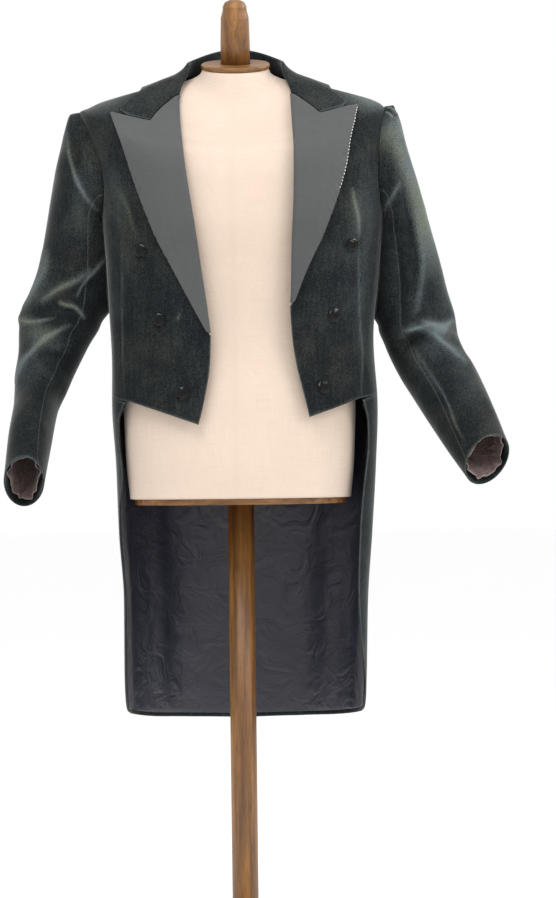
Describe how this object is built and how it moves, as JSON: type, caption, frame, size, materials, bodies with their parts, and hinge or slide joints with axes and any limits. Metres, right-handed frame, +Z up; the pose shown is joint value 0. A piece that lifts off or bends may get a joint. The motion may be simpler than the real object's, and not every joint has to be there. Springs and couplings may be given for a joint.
{
  "type": "tailcoat on a dress form",
  "caption": "Open-fronted evening tailcoat in dark velvet with peak lapels, a turned collar, bent sleeves and long tails, on a limbless dress form with a wooden stand.",
  "frame": {"origin": "on the floor, at the centre of the underside of the stand's foot", "axes": "+Z up, -Y the way the coat faces, +X the wearer's left"},
  "size_m": [0.7203, 0.42, 1.568],
  "materials": {
    "velvet": "dark green velvet pile",
    "ribbed_silk": "ribbed grey silk facing",
    "tail_satin": "blue-black satin lining",
    "cuff_satin": "brown-pink satin lining",
    "black_glass": "faceted, polished, opaque",
    "linen": "plain woven cream linen",
    "turned_wood": "turned and waxed"
  },
  "bodies": {
    "root": {"front_left": "velvet", "front_right": "velvet", "side_left": "velvet", "side_right": "velvet", "back_left": "velvet", "back_right": "velvet", "tail_left": "velvet", "tail_right": "velvet", "tail_lining_left": "tail_satin", "tail_lining_right": "tail_satin", "lapel_left": "ribbed_silk", "lapel_right": "ribbed_silk", "top_sleeve_left": "velvet", "top_sleeve_right": "velvet", "under_sleeve_left": "velvet", "under_sleeve_right": "velvet", "cuff_lining_left": "cuff_satin", "cuff_lining_right": "cuff_satin", "collar": "velvet", "button_upper_left": "black_glass", "button_upper_right": "black_glass", "button_middle_left": "black_glass", "button_middle_right": "black_glass", "button_lower_left": "black_glass", "button_lower_right": "black_glass", "button_back_left": "black_glass", "button_back_right": "black_glass", "form_torso": "linen", "form_board": "turned_wood", "neck_disc": "turned_wood", "neck_peg": "turned_wood", "stand_foot": "turned_wood", "stand_socket": "turned_wood", "stand_pole": "turned_wood"}
  },
  "joints": []
}
